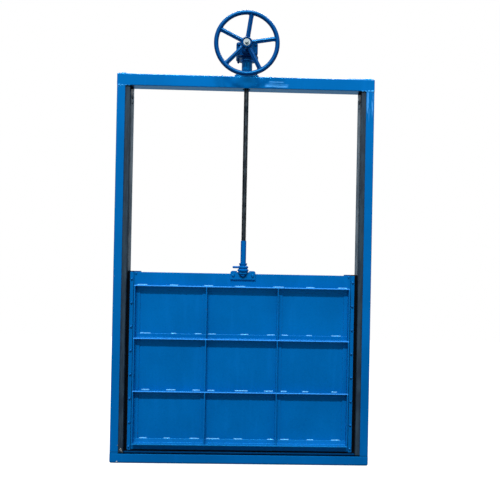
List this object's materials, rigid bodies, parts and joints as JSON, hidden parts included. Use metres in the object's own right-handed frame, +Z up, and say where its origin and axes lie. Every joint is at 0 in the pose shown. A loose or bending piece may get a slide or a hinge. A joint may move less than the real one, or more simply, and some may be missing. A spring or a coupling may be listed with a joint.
{
  "type": "wall-mounted sluice gate with rising stem and handwheel",
  "caption": "Blue steel sluice gate: a tall frame, a ribbed leaf that slides in it, a rising stem, and a bevel gearbox with a spoked handwheel on the top beam.",
  "frame": {"origin": "on the frame's flat back face, at the gate's centre line and the underside of the sill", "axes": "+X to the right seen from the front, +Y into the wall, +Z up along the stem"},
  "size_m": [2.03, 0.378, 3.501],
  "materials": {
    "blue_paint": "satin",
    "leaf_paint": "satin",
    "blue_casting": "satin",
    "guide_polymer": "matte",
    "seal_strip": "satin",
    "black_rubber": "matte",
    "stem_steel": "greased",
    "plated_steel": "plated"
  },
  "bodies": {
    "frame": {"left_jamb": "blue_paint", "left_front_guide": "guide_polymer", "left_seal_face": "seal_strip", "left_lip_seal": "seal_strip", "right_jamb": "blue_paint", "right_front_guide": "guide_polymer", "right_seal_face": "seal_strip", "right_lip_seal": "seal_strip", "sill_beam": "blue_paint", "sill_seat": "blue_paint", "top_beam": "blue_paint", "pedestal_base": "blue_paint", "pedestal_pipe": "blue_paint", "pedestal_flange": "blue_paint", "gearbox_housing": "blue_casting", "gearbox_cover": "blue_casting", "bearing_cover": "blue_casting"},
    "gate_leaf": {"skin_plate": "leaf_paint", "row_rib_1": "leaf_paint", "row_rib_2": "leaf_paint", "row_rib_3": "leaf_paint", "row_rib_4": "leaf_paint", "column_rib_1": "leaf_paint", "column_rib_2": "leaf_paint", "column_rib_3": "leaf_paint", "column_rib_4": "leaf_paint", "left_side_seal": "black_rubber", "left_side_bar": "leaf_paint", "left_top_pad": "leaf_paint", "right_side_seal": "black_rubber", "right_side_bar": "leaf_paint", "right_top_pad": "leaf_paint", "bottom_seal": "black_rubber", "stem": "stem_steel", "stem_sleeve": "blue_paint", "stem_collar": "blue_paint", "lock_ring": "blue_paint", "stem_nut": "blue_paint", "foot_nut": "blue_paint", "stem_bracket": "blue_paint"},
    "handwheel_body": {"handwheel": "blue_casting", "input_shaft": "plated_steel", "hub_washer": "plated_steel", "hub_nut": "plated_steel"}
  },
  "joints": [
    {"name": "leaf_lift", "type": "slide", "parent": "frame", "child": "gate_leaf", "axis": [0, 0, 1], "range_m": [0, 1.35]},
    {"name": "handwheel_turn", "type": "hinge", "parent": "frame", "child": "handwheel_body", "pos_m": [0, -0.32, 3.251], "axis": [0, -1, 0], "continuous": true}
  ],
  "couplings": [
    {"joint": "handwheel_turn", "follows": "leaf_lift", "rad_per_m": 2094.4}
  ]
}
